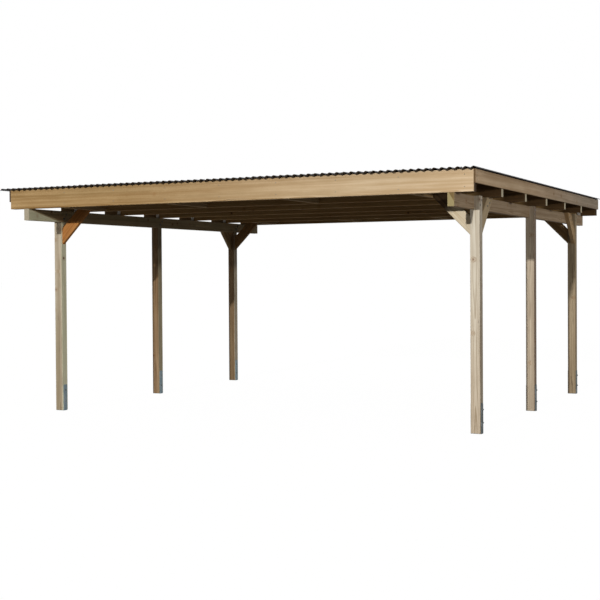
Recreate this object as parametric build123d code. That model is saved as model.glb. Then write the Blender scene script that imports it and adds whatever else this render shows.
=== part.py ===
# Double carport: a flat timber frame on six posts under corrugated roof sheets.
# X runs across the drive-in width, the front faces -Y, Z is up.
# The origin lies under the middle of the roof, at the feet of the post anchors.
from build123d import *
import math
import os

os.makedirs("parts", exist_ok=True)

# The frame's outer size: rafters side to side, beams front to back, clear height under the beams
rafter_length = 4960.0
frame_depth = 5092.0
beam_underside = 2030.0
# From a corner post's centre to the end of the rafters and to the outermost rafter's outer face
rafter_overhang = 166.0
beam_overhang = 600.0

# Posts are square; a seat cut into the inner side carries the beam
post_width = 90.0
post_seat_depth = 39.0

# Beams and rafters
beam_width = 60.0
beam_height = 120.0
rafter_count = 7
rafter_width = 60.0
rafter_height = 195.0
trimmer_width = 45.0

# Fascia boards
fascia_thickness = 18.0
side_fascia_height = 120.0

# Braces at 45 degrees; the drop is from the beam's underside to the brace's lower tip
brace_thickness = 45.0
brace_width = 120.0
brace_drop = 235.0

# The planed timbers' long edges are eased
edge_ease = 3.0

# Galvanised post anchors, and angle brackets with a pressed rib
anchor_plate_width = 60.0
anchor_plate_height = 280.0
anchor_plate_thickness = 5.0
anchor_corner_cut = 12.0
bracket_leg = 50.0
bracket_width = 40.0
bracket_thickness = 2.5
bracket_rib_leg = 28.0
bracket_rib_width = 8.0
# So many brackets on the left beam sit behind their rafters, from the front
left_rear_bracket_count = 1

# Corrugated sheets: waves run front to back, every second sheet is lapped over its neighbours
sheet_overhang_left = 80.0
sheet_overhang_right = 34.0
sheet_overhang_ends = 60.0
wave_height = 18.0
flank_share = 0.88
sheet_thickness = 1.5
lap_clearance = 0.1
sheet_wave_count = 16
sheet_first_waves = (0, 14, 28, 42, 57)

# Levels
beam_top = beam_underside + beam_height
rafter_top = beam_top + rafter_height

# Places across the width, measured from the frame's middle
rafter_end = rafter_length / 2
side_face = rafter_end + fascia_thickness
post_x = rafter_end - rafter_overhang
post_inner = post_x - post_width / 2
post_outer = post_x + post_width / 2
beam_outer = post_inner + post_seat_depth
beam_inner = beam_outer - beam_width

# Places along the depth
frame_end = frame_depth / 2
front_face = frame_end + fascia_thickness
roof_end = front_face + sheet_overhang_ends
post_y = frame_end - beam_overhang
rafter_step = (frame_depth - rafter_width) / (rafter_count - 1)
rafter_ys = [-frame_end + rafter_width / 2 + i * rafter_step for i in range(rafter_count)]

# The roof's edges and the wave pitch that fills the width between them
roof_left = -side_face - sheet_overhang_left
roof_right = side_face + sheet_overhang_right
wave_total = sheet_first_waves[-1] + sheet_wave_count
wave_pitch = (roof_right - roof_left) / wave_total
# The frame stands a little off the middle of the roof
shift_x = -(roof_left + roof_right) / 2

# A brace rises as far as it reaches
brace_reach = brace_drop + beam_height
brace_foot = beam_underside - brace_drop
brace_cut = brace_width * math.sqrt(2)
# Two trimmers take the tops of the cross braces, two more share the space between them
trimmer_outer = post_inner - brace_reach
trimmer_x = trimmer_outer - trimmer_width / 2
trimmer_shares = (-1.0, -1 / 3, 1 / 3, 1.0)

sides = (("left", -1), ("right", 1))
rows = (("front", -1), ("middle", 0), ("rear", 1))
ends = (("front", -1), ("rear", 1))


def block(x0, x1, y0, y1, z0, z1):
    """A box between two corners."""
    return Pos((x0 + x1) / 2, (y0 + y1) / 2, (z0 + z1) / 2) * Box(abs(x1 - x0), abs(y1 - y0), abs(z1 - z0))


def timber(axis, x0, x1, y0, y1, z0, z1):
    """A planed timber: a box whose four edges along its length are eased."""
    piece = block(x0, x1, y0, y1, z0, z1)
    return chamfer(piece.edges().filter_by(axis), edge_ease)


def board(points, run):
    """A flat outline carried straight along a vector, its two sloping edges eased on both faces."""
    piece = Solid.extrude(Face(Wire.make_polygon([Vector(*p) for p in points], close=True)), Vector(*run))
    slope = (Vector(*points[1]) - Vector(*points[0])).normalized()
    long_edges = [e for e in piece.edges() if abs((e % 0).dot(slope)) > math.cos(math.radians(1))]
    return chamfer(long_edges, edge_ease)


def keep(name, solids):
    """Write one node, moved so that the roof's middle is over the origin."""
    placed = [Pos(shift_x, 0, 0) * s for s in solids]
    shape = placed[0] if len(placed) == 1 else Compound(children=placed)
    export_step(shape, "parts/" + name + ".step")


# Posts with a seat for the beam, each standing in a galvanised anchor
for side, sx in sides:
    for row, sy in rows:
        y = sy * post_y
        half = post_width / 2
        foot = anchor_plate_thickness
        post = timber(Axis.Z, sx * post_inner, sx * post_outer, y - half, y + half, foot, beam_top)
        seat = block(sx * post_inner, sx * beam_outer, y - half, y + half, beam_underside, beam_top)
        keep("post_" + side + "_" + row, [post - seat])
        plate_in = post_inner - anchor_plate_thickness
        plate_out = post_outer + anchor_plate_thickness
        wide = anchor_plate_width / 2
        strap = block(sx * plate_in, sx * plate_out, y - wide, y + wide, 0, anchor_plate_height)
        strap = chamfer(strap.edges().filter_by(Axis.X).group_by(Axis.Z)[-1], anchor_corner_cut)
        space = block(sx * post_inner, sx * post_outer, y - wide, y + wide, foot, anchor_plate_height)
        keep("anchor_" + side + "_" + row, [strap - space])

# Beams, their ends level with the faces of the front and rear fascias
for side, sx in sides:
    beam = timber(Axis.Y, sx * beam_inner, sx * beam_outer, -front_face, front_face, beam_underside, beam_top)
    keep("beam_" + side, [beam])

# Rafters
for i, y in enumerate(rafter_ys):
    half = rafter_width / 2
    rafter = timber(Axis.X, -rafter_end, rafter_end, y - half, y + half, beam_top, rafter_top)
    keep("rafter_" + str(i + 1), [rafter])

# Trimmers between the two outermost rafters at the front and at the rear
for row, sy in ends:
    y_out = sy * (frame_end - rafter_width)
    y_in = sy * (frame_end - rafter_step)
    pieces = []
    for share in trimmer_shares:
        x = share * trimmer_x
        half = trimmer_width / 2
        pieces.append(timber(Axis.Y, x - half, x + half, y_in, y_out, beam_top, rafter_top))
    keep("trimmers_" + row, pieces)

# Fascia boards; the side ones cover the ends of the front and rear ones
for row, sy in ends:
    face = timber(Axis.X, -rafter_end, rafter_end, sy * frame_end, sy * front_face, beam_top, rafter_top)
    keep("fascia_" + row, [face])
for side, sx in sides:
    z0 = rafter_top - side_fascia_height
    face = timber(Axis.Y, sx * rafter_end, sx * side_face, -front_face, front_face, z0, rafter_top)
    keep("fascia_" + side, [face])

# Braces at the corner posts
for side, sx in sides:
    for row, sy in ends:
        y = sy * post_y
        y0 = y - brace_thickness / 2
        # The cross brace rises from the post to the outermost trimmer, with an upright cut at each end
        cross = [
            (sx * post_inner, y0, brace_foot),
            (sx * trimmer_outer, y0, brace_foot + brace_reach),
            (sx * trimmer_outer, y0, brace_foot + brace_reach + brace_cut),
            (sx * post_inner, y0, brace_foot + brace_cut),
        ]
        keep("brace_cross_" + side + "_" + row, [board(cross, (0, brace_thickness, 0))])
        # The side brace lies against the beam's outer face and ends level with its top
        y1 = y - sy * post_width / 2
        x0 = sx * beam_outer
        along = [
            (x0, y1, brace_foot),
            (x0, y1 - sy * brace_reach, beam_top),
            (x0, y1 - sy * (brace_reach - brace_cut), beam_top),
            (x0, y1, brace_foot + brace_cut),
        ]
        keep("brace_side_" + side + "_" + row, [board(along, (sx * brace_thickness, 0, 0))])

# Angle brackets where the rafters cross the beams
for side, sx in sides:
    pieces = []
    x = sx * (beam_inner + beam_outer) / 2
    x0 = x - bracket_width / 2
    x1 = x + bracket_width / 2
    for i, y in enumerate(rafter_ys):
        # Behind the rafter or in front of it, but never on a face that carries a fascia
        last_behind = min(left_rear_bracket_count, rafter_count - 1) if side == "left" else rafter_count - 1
        sy = 1 if i < last_behind else -1
        face = y + sy * rafter_width / 2
        upright = block(x0, x1, face, face + sy * bracket_thickness, beam_top, beam_top + bracket_leg)
        foot = block(x0, x1, face, face + sy * bracket_leg, beam_top, beam_top + bracket_thickness)
        rib_x = x - bracket_rib_width / 2
        rib = [
            (rib_x, face, beam_top),
            (rib_x, face + sy * bracket_rib_leg, beam_top),
            (rib_x, face, beam_top + bracket_rib_leg),
        ]
        rib_face = Face(Wire.make_polygon([Vector(*p) for p in rib], close=True))
        web = Solid.extrude(rib_face, Vector(bracket_rib_width, 0, 0))
        pieces.append(upright + foot + web)
    keep("brackets_" + side, pieces)

# One sheet's wave: round crests and valleys joined by straight flanks, less steep than a sine wave's
mid_height = wave_height - sheet_thickness
flank_angle = math.atan(flank_share * math.pi * mid_height / wave_pitch)
flank_half = mid_height / 2 / math.tan(flank_angle / 2) - wave_pitch / 4
bend_radius = (wave_pitch / 4 - flank_half * math.cos(flank_angle)) / math.sin(flank_angle)
lap_lift = (sheet_thickness + lap_clearance) / math.cos(flank_angle)
valley_centre = rafter_top + sheet_thickness / 2 + bend_radius
crest_centre = rafter_top + sheet_thickness / 2 + mid_height - bend_radius


def surface_edges(x_start, lift, offset):
    """One surface of a sheet, from its left edge to its right, as arcs and flanks."""
    edges = []
    last = 2 * sheet_wave_count
    for k in range(last + 1):
        crest = k % 2 == 1
        way = 1 if crest else -1
        centre_x = x_start + k * wave_pitch / 2
        centre_z = (crest_centre if crest else valley_centre) + lift
        radius = bend_radius + way * offset
        a0 = 0.0 if k == 0 else -flank_angle
        a1 = 0.0 if k == last else flank_angle
        points = []
        for a in (a0, (a0 + a1) / 2, a1):
            x = centre_x + radius * math.sin(a)
            z = centre_z + way * radius * math.cos(a)
            points.append(Vector(x, -roof_end, z))
        if edges:
            edges.append(Edge.make_line(edges[-1] @ 1, points[0]))
        edges.append(Edge.make_three_point_arc(*points))
    return edges


for n, first in enumerate(sheet_first_waves):
    lift = lap_lift if n % 2 == 1 else 0.0
    x_start = roof_left + first * wave_pitch
    upper = surface_edges(x_start, lift, sheet_thickness / 2)
    lower = surface_edges(x_start, lift, -sheet_thickness / 2)
    left = Edge.make_line(lower[0] @ 0, upper[0] @ 0)
    right = Edge.make_line(upper[-1] @ 1, lower[-1] @ 1)
    outline = Face(Wire(upper + [right] + lower + [left]))
    keep("roof_sheet_" + str(n + 1), [Solid.extrude(outline, Vector(0, 2 * roof_end, 0))])
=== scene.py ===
import bpy
import bmesh
import math
import random
from mathutils import Matrix, Vector


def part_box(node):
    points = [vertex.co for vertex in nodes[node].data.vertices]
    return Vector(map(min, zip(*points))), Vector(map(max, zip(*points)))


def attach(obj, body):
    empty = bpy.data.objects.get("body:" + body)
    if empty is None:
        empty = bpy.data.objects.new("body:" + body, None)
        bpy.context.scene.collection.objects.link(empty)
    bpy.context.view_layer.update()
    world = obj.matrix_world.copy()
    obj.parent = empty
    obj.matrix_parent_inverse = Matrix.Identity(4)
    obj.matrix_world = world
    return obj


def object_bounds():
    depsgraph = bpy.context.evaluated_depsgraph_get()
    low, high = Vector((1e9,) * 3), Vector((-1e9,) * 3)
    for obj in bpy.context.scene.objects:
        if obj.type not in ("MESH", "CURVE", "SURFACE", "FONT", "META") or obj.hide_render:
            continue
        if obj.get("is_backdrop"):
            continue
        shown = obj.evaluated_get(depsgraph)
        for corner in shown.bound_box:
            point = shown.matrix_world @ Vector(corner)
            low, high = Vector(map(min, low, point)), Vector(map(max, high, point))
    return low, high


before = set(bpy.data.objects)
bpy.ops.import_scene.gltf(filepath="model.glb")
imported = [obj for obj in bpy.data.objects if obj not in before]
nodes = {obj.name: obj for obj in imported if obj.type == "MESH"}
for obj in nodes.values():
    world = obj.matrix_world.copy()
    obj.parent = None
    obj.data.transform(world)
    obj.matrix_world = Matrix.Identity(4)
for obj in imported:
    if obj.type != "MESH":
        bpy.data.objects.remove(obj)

cad_low, cad_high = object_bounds()
scene = bpy.context.scene
scene.view_settings.view_transform = "Standard"

SIDES = ("left", "right")
ROWS = ("front", "middle", "rear")
ENDS = ("front", "rear")
RAFTERS = 7
SHEETS = 5


def tint(red, green, blue):
    """A colour as the eye reads it, 0 to 255, turned into scene values."""
    out = []
    for part in (red, green, blue):
        part = part / 255
        out.append(part / 12.92 if part <= 0.04045 else ((part + 0.055) / 1.055) ** 2.4)
    return (*out, 1.0)


class Signal:
    """One socket of a finish. Arithmetic on it adds Math nodes."""

    def __init__(self, finish, socket):
        self.finish = finish
        self.socket = socket

    def math(self, operation, *others):
        inputs = dict(enumerate((self, *others)))
        return self.finish.node("ShaderNodeMath", {"operation": operation}, inputs)

    def __add__(self, other):
        return self.math("ADD", other)

    __radd__ = __add__

    def __sub__(self, other):
        return self.math("SUBTRACT", other)

    def __rsub__(self, other):
        return self.finish.node("ShaderNodeMath", {"operation": "SUBTRACT"}, {0: other, 1: self})

    def __mul__(self, other):
        return self.math("MULTIPLY", other)

    __rmul__ = __mul__

    def __truediv__(self, other):
        return self.math("DIVIDE", other)

    def size(self):
        return self.math("ABSOLUTE")

    def root(self):
        return self.math("SQRT")

    def part(self):
        return self.math("FRACT")

    def greater(self, other):
        return self.math("MAXIMUM", other)


class Finish:
    """A tree of nodes, most often a material with one principled shader."""

    def __init__(self, name, tree=None):
        if tree:
            self.tree = tree
            self.tree.nodes.clear()
            return
        self.material = bpy.data.materials.new(name)
        self.material.use_nodes = True
        self.tree = self.material.node_tree
        self.tree.nodes.clear()
        self.shader = self.node("ShaderNodeBsdfPrincipled")
        self.output = self.node("ShaderNodeOutputMaterial", None, {"Surface": self.shader}, None)

    def node(self, kind, settings=None, inputs=None, out=0):
        """Any node: its type, its settings, its inputs' values or signals, and the output wanted."""
        made = self.tree.nodes.new(kind)
        for key, value in (settings or {}).items():
            setattr(made, key, value)
        for key, value in (inputs or {}).items():
            self.feed(made.inputs[key], value)
        return made if out is None else Signal(self, made.outputs[out])

    def feed(self, socket, value):
        if isinstance(value, Signal):
            self.tree.links.new(value.socket, socket)
        else:
            socket.default_value = value

    def set(self, **values):
        """Values and signals for the shader, by socket name with _ for a space."""
        for key, value in values.items():
            self.feed(self.shader.socket.node.inputs[key.replace("_", " ")], value)

    def place(self):
        return self.node("ShaderNodeTexCoord", out="Object")

    def facing(self):
        return self.node("ShaderNodeTexCoord", out="Normal")

    def dot(self, vector, direction):
        inputs = {0: vector, 1: tuple(direction)}
        return self.node("ShaderNodeVectorMath", {"operation": "DOT_PRODUCT"}, inputs, "Value")

    def vector(self, x, y, z):
        return self.node("ShaderNodeCombineXYZ", None, {0: x, 1: y, 2: z})

    def noise(self, vector, scale=1.0, detail=2.0, rough=0.5):
        inputs = {"Vector": vector, "Scale": scale, "Detail": detail, "Roughness": rough}
        return self.node("ShaderNodeTexNoise", None, inputs)

    def step(self, value, low, high):
        """Rises smoothly from 0 at low to 1 at high."""
        ends = {"Value": value, "From Min": low, "From Max": high}
        return self.node("ShaderNodeMapRange", {"interpolation_type": "SMOOTHSTEP"}, ends)

    def blend(self, share, first, second):
        return self.node("ShaderNodeMix", {"data_type": "RGBA"}, {0: share, 6: first, 7: second}, 2)

    def bump(self, height, strength, distance):
        inputs = {"Height": height, "Strength": strength, "Distance": distance}
        return self.node("ShaderNodeBump", None, inputs)

    def tones(self, share, pair):
        """From the first colour of a pair to the second."""
        return self.blend(share, tint(*pair[0]), tint(*pair[1]))


# Wood: a year's ring, how far the log's heart lies from the middle, how much it wanders,
# and the number of cells per metre that may hold a knot
RING = 0.0045
BOXED_HEART = 0.022
SIDE_HEART = 0.09
WANDER = 0.03
KNOT_SCALE = 9.0
# Colours that all timbers share
ALGAE = (128, 132, 96)
END_GRAIN = (120, 92, 56)
KNOT_HALO = (150, 104, 58)
KNOT_HEART = (88, 54, 30)
CRACK = (58, 42, 28)


def timber(name, grain, pale, dark, green=0.15, knots=0.5, cracks=0.5, boxed=True,
           fade=None, ends=None, wear_and_shading=None, end_shade=None, end_wedge=None):
    """Planed, pressure-treated softwood: the log's rings show as lines on faces and arcs on ends.

    fade: another pair of tones at the start of the grain's direction, and where it begins and ends.
    ends: a pair of tones for the end grain.
    wear_and_shading: the way a face looks that takes other tones, partly grey weathering and partly painted
    light and shade, those tones, the slope along which they stop, and where.
    end_shade: a pair of darker tones near both ends, painted shade, and where it begins and is full, from
    the middle.
    end_wedge: a pair of darker tones for a wedge on the front end, the middle of its top, its tip, half its
    width.
    """
    rng = random.Random(name)
    low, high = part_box(name)
    grain = Vector(grain).normalized()
    side = Vector((1, 0, 0))
    if abs(grain.z) < 0.5:
        side = Vector((0, 0, 1))
    elif abs(grain.y) < 0.5:
        side = Vector((0, 1, 0))
    first = side.cross(grain).normalized()
    second = grain.cross(first).normalized()
    middle = (low + high) / 2
    reach = BOXED_HEART if boxed else SIDE_HEART
    turn = rng.uniform(0, 2 * math.pi)
    heart = middle + reach * (math.cos(turn) * first + math.sin(turn) * second)
    seed = rng.uniform(3, 60)

    f = Finish(name + "_timber")
    place = f.place()
    along = f.dot(place, grain) + seed
    wander = f.noise(f.vector(along * 0.7, seed, 0.0), detail=1.0) - 0.5
    across = f.dot(place, first) - heart.dot(first) + wander * WANDER
    sway = f.noise(f.vector(along * 0.6, 0.0, seed), detail=1.0) - 0.5
    rise = f.dot(place, second) - heart.dot(second) + sway * WANDER

    # Knots: small balls scattered through the wood, which push the rings aside
    cells = {"Vector": f.vector(along, across, rise), "Scale": KNOT_SCALE}
    spots = f.node("ShaderNodeTexVoronoi", None, cells, "Distance")
    luck = f.node("ShaderNodeTexVoronoi", None, cells, "Color")
    chosen = f.step(f.dot(luck, (1, 0, 0)), 1 - knots, 1.01 - knots)
    knot = (1 - f.step(spots, 0.07, 0.14)) * chosen
    halo = (1 - f.step(spots, 0.10, 0.34)) * chosen
    fibre = f.noise(f.vector(along * 3.0, across * 30, rise * 30), detail=2.0)
    radius = (across * across + rise * rise).root() + (fibre - 0.5) * 0.004 + halo * 0.006
    year = (radius / RING).part()
    late = f.step(year, 0.35, 0.92) * (1 - f.step(year, 0.93, 1.0))

    # Noise drawn out along the grain: streaks, broad bands, blotches and drying cracks
    streak = f.noise(f.vector(along * 0.55, across * 55, rise * 55), detail=4.0, rough=0.6)
    broad = f.noise(f.vector(along * 0.45, across * 7, rise * 7), detail=2.0)
    band = f.noise(f.vector(along * 0.35, across * 32 + 9, rise * 32), detail=3.0, rough=0.65)
    blotch = f.noise(f.vector(along * 2.6, across * 12, rise * 12 + seed), detail=3.0, rough=0.6)
    thread = f.noise(f.vector(along * 0.7, across * 60 + seed, rise * 60), detail=1.0) - 0.5
    line = 1 - f.step(thread.size(), 0.002, 0.010)
    dry = f.noise(f.vector(along * 1.5, across * 9 + seed, rise * 9), detail=1.0)
    end = f.step(f.dot(f.facing(), grain).size(), 0.6, 0.9)
    crack = line * f.step(dry, 0.70 - 0.2 * cracks, 0.76 - 0.2 * cracks) * (1 - end)

    shade = f.step(late * 0.30 + streak * 0.35 + band * 0.75 + blotch * 0.35 + broad * 0.2, 0.55, 1.15)
    wood = f.tones(shade, (pale, dark))
    if fade:
        tone, start, finish = fade
        drift = (broad - 0.5) * 0.3 * (finish - start)
        wood = f.blend(f.step(along - seed + drift, start, finish), f.tones(shade, tone), wood)
    wood = f.blend(f.step(broad, 0.42, 0.75) * green, wood, tint(*ALGAE))
    # Painted light and shade on faces that look one way, with grey weathering on some
    if wear_and_shading:
        way, tone, slope, start, finish = wear_and_shading
        facing = f.step(f.dot(f.facing(), way), 0.3, 0.8)
        side_wear_and_shade = facing * (1 - f.step(f.dot(place, slope), start, finish))
        wood = f.blend(side_wear_and_shade * 0.95, wood, f.tones(shade, tone))
    # Painted shade near both ends
    if end_shade:
        tone, start, finish = end_shade
        wood = f.blend(f.step((along - seed).size(), start, finish) * 0.85, wood, f.tones(shade, tone))
    if ends:
        wood = f.blend(end * 0.92, wood, f.tones(late * 0.5 + streak * 0.3, ends))
    else:
        wood = f.blend(end * (0.30 + late * 0.35), wood, tint(*END_GRAIN))
    if end_wedge:
        tone, top, tip, half = end_wedge
        climb = (f.dot(place, (0, 0, 1)) - tip[1]) / (top[1] - tip[1])
        centre = climb * (top[0] - tip[0]) + tip[0]
        aside = (f.dot(place, (1, 0, 0)) - centre).size() - climb * half
        front = f.step(f.dot(f.facing(), -grain), 0.6, 0.9)
        wedge = (1 - f.step(aside, -0.003, 0.003)) * front
        wood = f.blend(wedge * 0.9, wood, f.tones(streak, tone))
    wood = f.blend(halo * 0.35, wood, tint(*KNOT_HALO))
    wood = f.blend(knot * 0.85, wood, tint(*KNOT_HEART))
    wood = f.blend(crack * 0.8, wood, tint(*CRACK))
    height = streak * 0.5 + late * 0.35 - crack * 1.6 - knot * 0.25
    f.set(Base_Color=wood, Roughness=0.62 + streak * 0.22 + end * 0.1)
    f.set(Specular_IOR_Level=0.15, Normal=f.bump(height, 0.35, 0.0015))
    paint(nodes[name], f.material)


def paint(piece, material):
    piece.data.materials.clear()
    piece.data.materials.append(material)


def zinc(name, tones, metallic):
    """Hot-dip galvanised steel: spangled, dull, with paler bloom."""
    f = Finish(name)
    place = f.place()
    spangle = f.node("ShaderNodeTexVoronoi", None, {"Vector": place, "Scale": 140.0}, "Color")
    grey = f.dot(spangle, (0.6, 0.3, 0.1))
    bloom = f.step(f.noise(place, 14.0, 4.0, 0.6), 0.45, 0.75)
    metal = f.blend(bloom * 0.4, f.tones(grey, tones), tint(184, 190, 192))
    f.set(Base_Color=metal, Metallic=metallic - bloom * 0.2)
    f.set(Roughness=0.5 + grey * 0.15 + bloom * 0.15, Normal=f.bump(grey, 0.08, 0.0006))
    return f.material


def roofing():
    """Anthracite corrugated plastic, a little dusty in its valleys."""
    f = Finish("roof_sheet")
    place = f.place()
    z = f.dot(place, (0, 0, 1))
    valley = 1 - f.step(z, cad_high.z - 0.017, cad_high.z - 0.006)
    drawn = f.vector(f.dot(place, (1, 0, 0)) * 9, f.dot(place, (0, 1, 0)) * 0.9, 0.0)
    drift = f.noise(drawn, detail=4.0, rough=0.6)
    dust = f.step(drift, 0.42, 0.8) * (0.25 + valley * 0.75)
    f.set(Base_Color=f.tones(dust * 0.35, ((48, 46, 48), (104, 98, 90))))
    f.set(Roughness=0.46 + dust * 0.3, Specular_IOR_Level=0.25)
    f.set(Normal=f.bump(f.noise(place, 60.0, 2.0), 0.05, 0.001))
    return f.material


steel = zinc("galvanised_steel", ((118, 138, 146), (150, 168, 174)), 0.45)
# Darker zinc: painted shade on the right posts' anchors, which stand in shade; the anchor bolts are made of
# it too
darker_galvanised = zinc("darker_zinc", ((74, 81, 82), (98, 104, 103)), 0.35)
# Pale zinc for the angle brackets and their nails: pale new zinc, made paler still as a painted highlight
# for their glint
glint_pale = zinc("glint_pale_zinc", ((212, 206, 196), (238, 232, 222)), 0.15)
dull = zinc("dull_zinc", ((98, 91, 82), (128, 120, 108)), 0.2)
sheet = roofing()

# Posts
POST_TONES = {
    "left_front": ((207, 193, 169), (163, 147, 122), 0.2),
    "left_middle": ((155, 127, 94), (111, 84, 55), 0.1),
    "left_rear": ((150, 124, 92), (106, 82, 56), 0.1),
    "right_front": ((238, 230, 211), (193, 178, 155), 0.05),
    "right_middle": ((219, 203, 177), (166, 147, 124), 0.05),
    "right_rear": ((188, 170, 138), (136, 116, 90), 0.05),
}
# Most posts have another tone on their right side: paler and greyer on the left posts, grey weathering made
# paler as painted light, and darker on the right ones as painted shade
SIDE_WEAR_AND_SHADING = {
    "right_front": ((182, 168, 146), (140, 124, 102)),
    "right_middle": ((152, 132, 112), (114, 96, 80)),
    "left_front": ((240, 237, 207), (206, 200, 165)),
    "left_middle": ((202, 190, 158), (152, 138, 110)),
    "left_rear": ((206, 192, 168), (152, 138, 116)),
}
# The side's tone covers the whole side, or it eases off between two heights
OVER_ALL = (9, 10)
SIDE_SHADING_UP_TO = {"right_front": (0.2, 3.2)}
# Some posts have another tone at the foot, which goes over into the post's own up to a height
FOOT_TONES = {
    "left_front": (((183, 167, 142), (139, 121, 95)), 0.0, 1.9),
    "left_middle": (((171, 143, 110), (127, 100, 71)), 0.1, 1.1),
    "right_front": (((216, 201, 178), (169, 149, 123)), 0.0, 1.9),
}
for place, (pale, dark, green) in POST_TONES.items():
    side_wear_and_shade = None
    if place in SIDE_WEAR_AND_SHADING:
        side_wear_and_shade = ((1, 0, 0), SIDE_WEAR_AND_SHADING[place], (0, 0, 1), *SIDE_SHADING_UP_TO.get(place, OVER_ALL))
    foot = FOOT_TONES.get(place)
    timber("post_" + place, (0, 0, 1), pale, dark, green, knots=0.3, cracks=0.6, wear_and_shading=side_wear_and_shade, fade=foot)
    # The right posts' anchors get the darker zinc as painted shade
    paint(nodes["anchor_" + place], steel if place.startswith("left") else darker_galvanised)

# Beams; the left one is paler and greyer at its front end, below the line of the fascia's shadow on its
# inner face: grey weathering, and painted light where the light falls; and the right one's front end has a
# darker wedge
greyed_and_lit = ((220, 216, 186), (184, 178, 144))
timber("beam_left", (0, 1, 0), (196, 178, 142), (156, 134, 98), green=0.3, knots=0.5, boxed=False,
       ends=((184, 174, 152), (140, 128, 104)), wear_and_shading=((1, 0, 0), greyed_and_lit, (0, 0.214, 1), 1.587, 1.601))
timber("beam_right", (0, 1, 0), (188, 165, 136), (142, 118, 90), green=0.1, knots=0.6, boxed=False,
       ends=((173, 158, 112), (135, 119, 80)),
       end_wedge=(((136, 112, 72), (106, 84, 48)), (2.305, 2.150), (2.329, 2.072), 0.024))

# Rafters and trimmers; the outermost rafters' ends are sealed, and every rafter is darker near both ends,
# out over the beams, as painted shade
pale_ends = ((224, 214, 186), (186, 170, 136))
sealed_ends = ((70, 52, 36), (44, 32, 22))
shaded_end_tones = ((104, 78, 50), (72, 52, 32))
for i in range(RAFTERS):
    outermost = i in (0, RAFTERS - 1)
    timber("rafter_" + str(i + 1), (1, 0, 0), (204, 168, 112), (150, 112, 66), green=0.1, knots=0.45,
           boxed=False, ends=sealed_ends if outermost else pale_ends, end_shade=(shaded_end_tones, 2.20, 2.32))
for row in ENDS:
    timber("trimmers_" + row, (0, 1, 0), (196, 170, 128), (150, 118, 78), green=0.2, knots=0.4, boxed=False)

# Fascia boards; the front one is browner towards its left end, the side ones' ends are sealed
brown = ((198, 166, 118), (142, 108, 62))
timber("fascia_front", (1, 0, 0), (239, 215, 181), (197, 165, 123), green=0.1, knots=0.04, cracks=0.15,
       boxed=False, fade=(brown, -1.6, 2.9))
timber("fascia_rear", (1, 0, 0), (208, 181, 138), (170, 138, 92), green=0.15, knots=0.2, cracks=0.3,
       boxed=False)
timber("fascia_left", (0, 1, 0), (208, 182, 142), (168, 137, 97), green=0.15, knots=0.25, cracks=0.3,
       boxed=False, ends=((88, 74, 64), (56, 46, 40)))
near = ((230, 202, 166), (182, 149, 113))
timber("fascia_right", (0, 1, 0), (190, 173, 151), (146, 129, 109), green=0.1, knots=0.25, cracks=0.3,
       boxed=False, fade=(near, -1.6, 2.2), ends=((110, 84, 54), (70, 50, 30)))

# Braces; the right front cross brace is pale only in its lower part, and its darker upper part, above the
# line of the fascia's shadow, is painted shade
BRACE_TONES = {
    "cross_left_front": ((196, 138, 76), (156, 98, 46)),
    "cross_left_rear": ((176, 140, 92), (132, 96, 56)),
    # painted shade: the right front cross brace's darker tones, for its part in the fascia's shadow
    "cross_right_front": ((112, 88, 60), (84, 64, 44)),
    "cross_right_rear": ((196, 166, 120), (152, 118, 76)),
    "side_left_front": ((190, 168, 130), (148, 120, 82)),
    "side_left_rear": ((180, 156, 116), (140, 112, 74)),
    "side_right_front": ((206, 186, 152), (164, 140, 104)),
    "side_right_rear": ((200, 172, 130), (156, 124, 84)),
}
RISE = {"cross_left": (1, 0, 1), "cross_right": (-1, 0, 1), "front": (0, 1, 1), "rear": (0, -1, 1)}
PALE_FOOT = ((232, 218, 192), (206, 187, 154))
for place, (pale, dark) in BRACE_TONES.items():
    way, side, row = place.split("_")
    rise = RISE["cross_" + side] if way == "cross" else RISE[row]
    lower = (PALE_FOOT, -0.08, 0.02) if place == "cross_right_front" else None
    timber("brace_" + place, rise, pale, dark, green=0.1, knots=0.2, cracks=0.2, boxed=False, fade=lower)

# The angle brackets get the pale zinc with its painted highlight
for side in SIDES:
    paint(nodes["brackets_" + side], glint_pale)
for i in range(SHEETS):
    paint(nodes["roof_sheet_" + str(i + 1)], sheet)


# Head radii in metres; heads and washers reach a little into the face that they sit on
BOLT_HEAD = 0.0105
NAIL_HEAD = 0.0032
BRACE_SCREW = 0.0055
FASCIA_SCREW = 0.0045
SINK = 0.0005
# Slices along an axis: start, depth, radius at the foot, radius at the top, number of sides
NUT = (
    (-SINK, 0.0025, 0.0120, 0.0118, 18),
    (0.0019, 0.0075, 0.0095, None, 6),
    (0.0093, 0.0045, 0.0050, 0.0042, 12),
)
ROOF_CAP = (
    (-0.0030, 0.0040, 0.0105, 0.0105, 12),
    (0.0010, 0.0030, 0.0090, 0.0065, 12),
    (0.0040, 0.0015, 0.0065, 0.0035, 12),
)
# Bolts: heights in the anchors, places in the beams, run and rise from a side brace's foot
ANCHOR_BOLT_HEIGHTS = (0.10, 0.22)
BEAM_BOLT_STAGGER = 0.02
BEAM_BOLT_INSET = 0.038
SIDE_BRACE_BOLTS = ((0.185, 0.275), (0.255, 0.305))
# Screws: two abreast near a brace's foot, three through a trimmer, pairs in the fascias
FOOT_SCREW_INSET = 0.045
FOOT_SCREW_SPREAD = (-0.011, 0.011)
TRIMMER_WIDTH = 0.045
TRIMMER_SCREW_DROPS = (0.03, 0.085, 0.14)
SIDE_SCREW_RISE = 0.028
SIDE_SCREW_DROP = 0.032
FRONT_SCREW_RISE = 0.042
FRONT_SCREW_DROP = 0.046
FRONT_SCREW_INSET = 0.08
FRONT_SCREW_COUNT = 9
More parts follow.
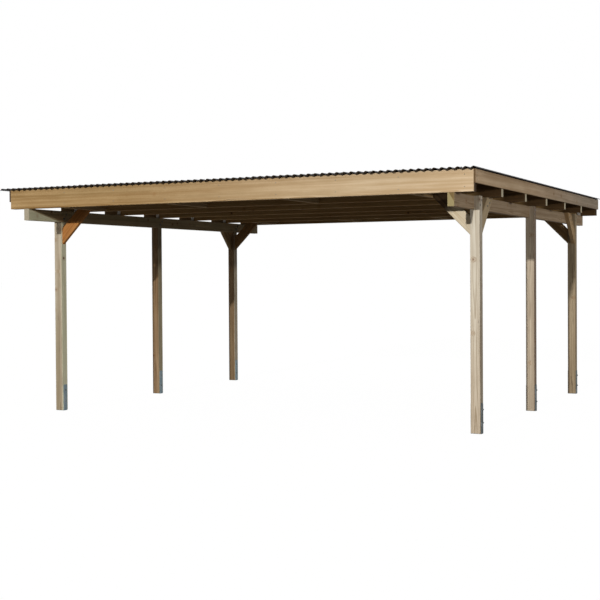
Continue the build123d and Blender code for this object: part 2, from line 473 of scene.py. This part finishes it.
# Angle brackets: one on the left beam and all but the last on the right one sit behind their rafters
REAR_BRACKETS = {"left": 1, "right": RAFTERS - 1}
BRACKET_THICKNESS = 0.0025
NAIL_SPREAD = (-0.013, 0.013)
NAIL_RISE = 0.038
NAIL_REACH = 0.036
# Roof caps: a sheet's number of waves, the first wave with caps, and every so many waves after it
SHEET_WAVES = 16
FIRST_CAP_WAVE = 2
CAP_WAVE_STEP = 4


class Kit:
    """Small turned parts, gathered into one piece."""

    def __init__(self, name, slot, material):
        self.name = name
        self.slot = slot
        self.material = material
        self.bm = bmesh.new()

    def disc(self, at, axis, start, depth, radius, top=None, segments=14):
        """A round or many-sided slice on a face; start and depth run along the axis, away from it."""
        axis = Vector(axis).normalized()
        turn = axis.to_track_quat("Z", "Y").to_matrix().to_4x4()
        spot = Matrix.Translation(Vector(at) + axis * (start + depth / 2)) @ turn
        bmesh.ops.create_cone(self.bm, cap_ends=True, segments=segments, radius1=radius,
                              radius2=radius if top is None else top, depth=depth, matrix=spot)

    def stack(self, at, axis, slices):
        for start, depth, radius, top, segments in slices:
            self.disc(at, axis, start, depth, radius, top, segments)

    def nut(self, at, axis):
        """A washer, a nut and the bolt's end."""
        self.stack(at, axis, NUT)

    def dome(self, at, axis, radius):
        """A low round head."""
        self.disc(at, axis, -SINK, 0.08 * radius + SINK, radius)
        self.disc(at, axis, 0.08 * radius, 0.20 * radius, radius, 0.80 * radius)
        self.disc(at, axis, 0.28 * radius, 0.12 * radius, 0.80 * radius, 0.45 * radius)

    def screw(self, at, axis, radius):
        """A countersunk head, almost level with the wood, with a low six-sided rise in its middle."""
        self.disc(at, axis, -0.0015, 0.0020, radius, 0.94 * radius, 12)
        self.disc(at, axis, 0.0004, 0.0004, 0.55 * radius, 0.50 * radius, 6)

    def done(self):
        bmesh.ops.recalc_face_normals(self.bm, faces=self.bm.faces)
        mesh = bpy.data.meshes.new(self.name)
        self.bm.to_mesh(mesh)
        self.bm.free()
        piece = bpy.data.objects.new(self.name, mesh)
        scene.collection.objects.link(piece)
        paint(piece, self.material)
        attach(piece, "root")


def outer_x(name, way):
    """Where a piece ends on the left, for -1, or on the right, for 1."""
    low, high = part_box(name)
    return high.x if way > 0 else low.x


anchor_bolts = Kit("anchor_bolts", "galvanised_steel", darker_galvanised)
beam_bolts = Kit("beam_bolts", "galvanised_steel", dull)
brace_fixings = Kit("brace_fixings", "galvanised_steel", dull)
fascia_screws = Kit("fascia_screws", "galvanised_steel", dull)
bracket_nails = Kit("bracket_nails", "galvanised_steel", glint_pale)
roof_fixings = Kit("roof_fixings", "roof_sheet", sheet)

for side, way in (("left", -1), ("right", 1)):
    beam_low, beam_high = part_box("beam_" + side)
    beam_x = (beam_low.x + beam_high.x) / 2
    for row in ROWS:
        place = side + "_" + row
        low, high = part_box("anchor_" + place)
        y = (low.y + high.y) / 2
        for z in ANCHOR_BOLT_HEIGHTS:
            anchor_bolts.nut((outer_x("anchor_" + place, way), y, z), (way, 0, 0))
            anchor_bolts.dome((outer_x("anchor_" + place, -way), y, z), (-way, 0, 0), BOLT_HEAD)
        # Through the post's tongue and the beam
        lower = (y - BEAM_BOLT_STAGGER, beam_low.z + BEAM_BOLT_INSET)
        upper = (y + BEAM_BOLT_STAGGER, beam_high.z - BEAM_BOLT_INSET)
        for spot in (lower, upper):
            beam_bolts.dome((outer_x("post_" + place, way), *spot), (way, 0, 0), BOLT_HEAD)
            beam_bolts.nut((outer_x("beam_" + side, -way), *spot), (-way, 0, 0))
    for row, back in (("front", 1), ("rear", -1)):
        # Side braces: two bolts into the beam, two screws near the foot
        brace = "brace_side_" + side + "_" + row
        low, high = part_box(brace)
        foot_y = low.y if back > 0 else high.y
        for run, lift in SIDE_BRACE_BOLTS:
            spot = (outer_x(brace, way), foot_y + back * run, low.z + lift)
            beam_bolts.dome(spot, (way, 0, 0), BOLT_HEAD)
        y = foot_y + back * FOOT_SCREW_INSET
        for dx in FOOT_SCREW_SPREAD:
            spot = ((low.x + high.x) / 2 + dx, y, low.z + FOOT_SCREW_INSET)
            brace_fixings.screw(spot, (0, back, -1), BRACE_SCREW)
        # Cross braces: two screws near the foot, three through the trimmer at the top
        brace = "brace_cross_" + side + "_" + row
        low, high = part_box(brace)
        foot_x = outer_x(brace, way) - way * FOOT_SCREW_INSET
        top_x = outer_x(brace, -way) - way * TRIMMER_WIDTH
        y = (low.y + high.y) / 2
        for dy in FOOT_SCREW_SPREAD:
            spot = (foot_x, y + dy, low.z + FOOT_SCREW_INSET)
            brace_fixings.screw(spot, (-way, 0, -1), BRACE_SCREW)
        for drop in TRIMMER_SCREW_DROPS:
            brace_fixings.screw((top_x, y, high.z - drop), (-way, 0, 0), BRACE_SCREW)
    # Side fascias and angle brackets, at each rafter
    low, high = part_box("fascia_" + side)
    for i in range(RAFTERS):
        rafter_low, rafter_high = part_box("rafter_" + str(i + 1))
        y = (rafter_low.y + rafter_high.y) / 2
        for z in (low.z + SIDE_SCREW_RISE, high.z - SIDE_SCREW_DROP):
            fascia_screws.screw((outer_x("fascia_" + side, way), y, z), (way, 0, 0), FASCIA_SCREW)
        behind = i < REAR_BRACKETS[side]
        turn = 1 if behind else -1
        face = (rafter_high.y if behind else rafter_low.y) + turn * BRACKET_THICKNESS
        for dx in NAIL_SPREAD:
            upright = (beam_x + dx, face, beam_high.z + NAIL_RISE)
            bracket_nails.dome(upright, (0, turn, 0), NAIL_HEAD)
            flat = (beam_x + dx, face + turn * NAIL_REACH, beam_high.z + BRACKET_THICKNESS)
            bracket_nails.dome(flat, (0, 0, 1), NAIL_HEAD)

for row, way in (("front", -1), ("rear", 1)):
    low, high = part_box("fascia_" + row)
    face = high.y if way > 0 else low.y
    gap = (high.x - low.x - 2 * FRONT_SCREW_INSET) / (FRONT_SCREW_COUNT - 1)
    for k in range(FRONT_SCREW_COUNT):
        x = low.x + FRONT_SCREW_INSET + k * gap
        for z in (low.z + FRONT_SCREW_RISE, high.z - FRONT_SCREW_DROP):
            fascia_screws.screw((x, face, z), (0, way, 0), FASCIA_SCREW)

# Roof fixings on every fourth crest, over each rafter
boxes = [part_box("roof_sheet_" + str(i + 1)) for i in range(SHEETS)]
left_edge = boxes[0][0].x
wave = (boxes[0][1].x - left_edge) / SHEET_WAVES
waves = round((boxes[-1][1].x - left_edge) / wave)
for k in range(FIRST_CAP_WAVE, waves, CAP_WAVE_STEP):
    x = left_edge + (k + 0.5) * wave
    top = max(high.z for low, high in boxes if low.x < x < high.x)
    for i in range(RAFTERS):
        low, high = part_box("rafter_" + str(i + 1))
        roof_fixings.stack((x, (low.y + high.y) / 2, top), (0, 0, 1), ROOF_CAP)

for kit in (anchor_bolts, beam_bolts, brace_fixings, fascia_screws, bracket_nails, roof_fixings):
    kit.done()

# Light: a low key from the front, a fill from the right, a softer one from behind and an even surround.
# Each lamp: its name, strength, angle in degrees and the way its light travels
LAMPS = (
    ("key", 2.1, 0.8, (-0.04, 1.0, -0.225)),
    ("fill", 0.9, 2.0, (-0.90, 0.43, -0.092)),
    ("behind", 2.0, 15.0, (0.72, -0.65, -0.14)),
)
for name, energy, spread, travel in LAMPS:
    sun = bpy.data.lights.new(name, "SUN")
    sun.energy = energy
    sun.angle = math.radians(spread)
    lamp = bpy.data.objects.new(name, sun)
    lamp.rotation_euler = Vector(travel).to_track_quat("-Z", "Y").to_euler()
    scene.collection.objects.link(lamp)

# The surround is white to the eye, and dimmer where it lights the carport or is mirrored in it
SURROUND_LIGHT = 0.27
SURROUND_EYE = 0.73
SURROUND_SHINE = 0.33
world = bpy.data.worlds.new("surround")
scene.world = world
world.use_nodes = True
f = Finish("surround", world.node_tree)
direct = f.node("ShaderNodeLightPath", out="Is Camera Ray")
through = f.node("ShaderNodeLightPath", out="Is Transmission Ray")
shine = f.node("ShaderNodeLightPath", out="Is Glossy Ray")
strength = SURROUND_LIGHT + direct.greater(through) * SURROUND_EYE + shine * SURROUND_SHINE
back = f.node("ShaderNodeBackground", None, {"Color": (1, 1, 1, 1), "Strength": strength})
f.node("ShaderNodeOutputWorld", None, {"Surface": back}, None)

# Floor: pale to the eye, with only a trace of the carport's shadow on it
FLOOR_HALF = 120
FLOOR_COLOUR = (0.2, 0.19, 0.18, 1)
FLOOR_GLOW = 1.16
FLOOR_EYE = 0.85
FLOOR_SHINE = 0.5
mesh = bpy.data.meshes.new("floor")
bm = bmesh.new()
bmesh.ops.create_grid(bm, x_segments=1, y_segments=1, size=FLOOR_HALF)
bm.to_mesh(mesh)
bm.free()
floor = bpy.data.objects.new("floor", mesh)
scene.collection.objects.link(floor)
floor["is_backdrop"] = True
f = Finish("floor")
f.set(Base_Color=FLOOR_COLOUR, Roughness=1.0, Specular_IOR_Level=0.0)
glow = f.node("ShaderNodeEmission", None, {"Strength": FLOOR_GLOW})
direct = f.node("ShaderNodeLightPath", out="Is Camera Ray")
shine = f.node("ShaderNodeLightPath", out="Is Glossy Ray")
seen = direct + shine * FLOOR_SHINE
both = f.node("ShaderNodeMixShader", None, {0: seen * FLOOR_EYE, 1: f.shader, 2: glow})
f.feed(f.output.inputs["Surface"], both)
paint(floor, f.material)

# Camera at the photograph's place and angle; the first three numbers are in the photograph's pixels
focal, centre_x, centre_y = 1181.70, 265.99, 293.00
roll, pitch, yaw = -0.00699, -0.01636, 0.47097
CAMERA_AT = (5.4903, -12.3354, 1.4616)
PHOTO_SIZE = 600
SENSOR = 36
right = Vector((math.cos(yaw), math.sin(yaw), 0))
level_ahead = Vector((-math.sin(yaw), math.cos(yaw), 0))
ahead = math.cos(pitch) * level_ahead + math.sin(pitch) * Vector((0, 0, 1))
up = -math.sin(pitch) * level_ahead + math.cos(pitch) * Vector((0, 0, 1))
across = math.cos(roll) * right + math.sin(roll) * up
above = math.cos(roll) * up - math.sin(roll) * right
lens = bpy.data.cameras.new("camera")
lens.sensor_width = SENSOR
lens.lens = focal / PHOTO_SIZE * SENSOR
lens.shift_x = (PHOTO_SIZE / 2 - centre_x) / PHOTO_SIZE
lens.shift_y = (centre_y - PHOTO_SIZE / 2) / PHOTO_SIZE
lens.clip_end = 500
camera = bpy.data.objects.new("camera", lens)
turned = Matrix((across, above, -ahead)).transposed().to_4x4()
camera.matrix_world = Matrix.Translation(CAMERA_AT) @ turned
scene.collection.objects.link(camera)
scene.camera = camera

low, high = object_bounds()
